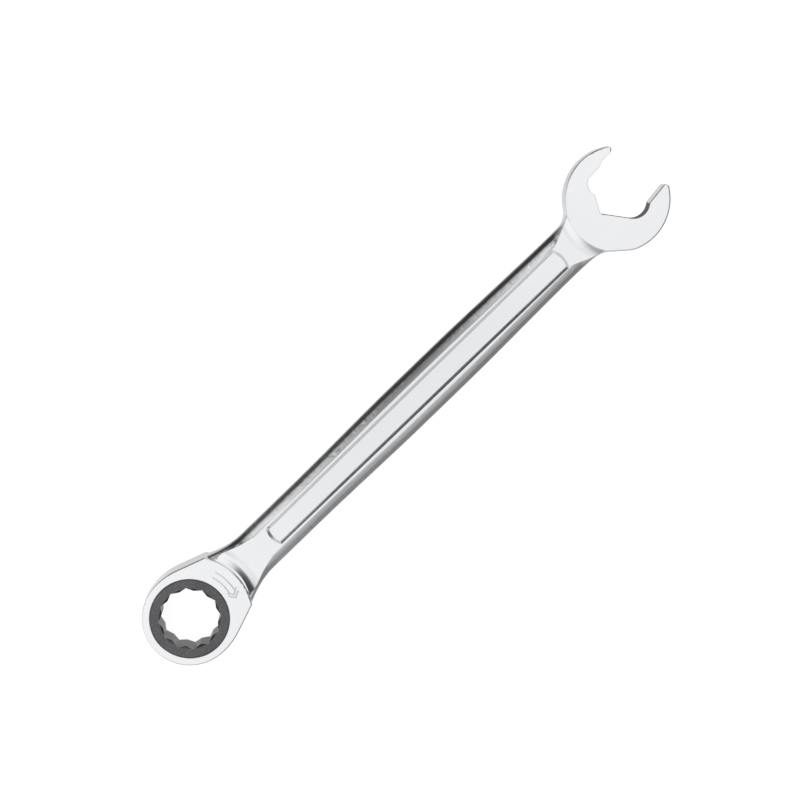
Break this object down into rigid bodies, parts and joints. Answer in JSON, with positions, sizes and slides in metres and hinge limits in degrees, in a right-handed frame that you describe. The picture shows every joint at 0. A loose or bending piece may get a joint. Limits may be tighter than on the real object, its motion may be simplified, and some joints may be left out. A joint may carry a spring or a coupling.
{
  "type": "ratcheting combination wrench",
  "caption": "Combination wrench with a one-way ratcheting box ring at one end and a fixed open jaw at the other, joined by a slim panelled shank.",
  "frame": {"origin": "centre of the ring's drive hole, halfway through the ring's thickness", "axes": "+X along the shank from the ring to the open jaw, +Z out of the face that has the direction arrow"},
  "size_m": [0.2158, 0.0329, 0.0108],
  "materials": {
    "body_chrome": "polished",
    "gear_dark_steel": "satin",
    "hardened_steel": "satin",
    "spring_steel": "satin"
  },
  "bodies": {
    "wrench": {"wrench_body": "body_chrome", "retaining_ring": "spring_steel", "pawl_spring": "spring_steel"},
    "gear": {"drive_gear": "gear_dark_steel"},
    "pawl": {"pawl": "hardened_steel"}
  },
  "joints": [
    {"name": "gear_spin", "type": "hinge", "parent": "wrench", "child": "gear", "pos_m": [0, 0, 0], "axis": [0, 0, 1], "continuous": true},
    {"name": "pawl_slide", "type": "slide", "parent": "wrench", "child": "pawl", "axis": [1, 0, 0], "range_m": [0, 0.0007], "stiffness_N_per_m": 600, "springref_m": -0.001, "deforming": ["pawl_spring"]}
  ]
}
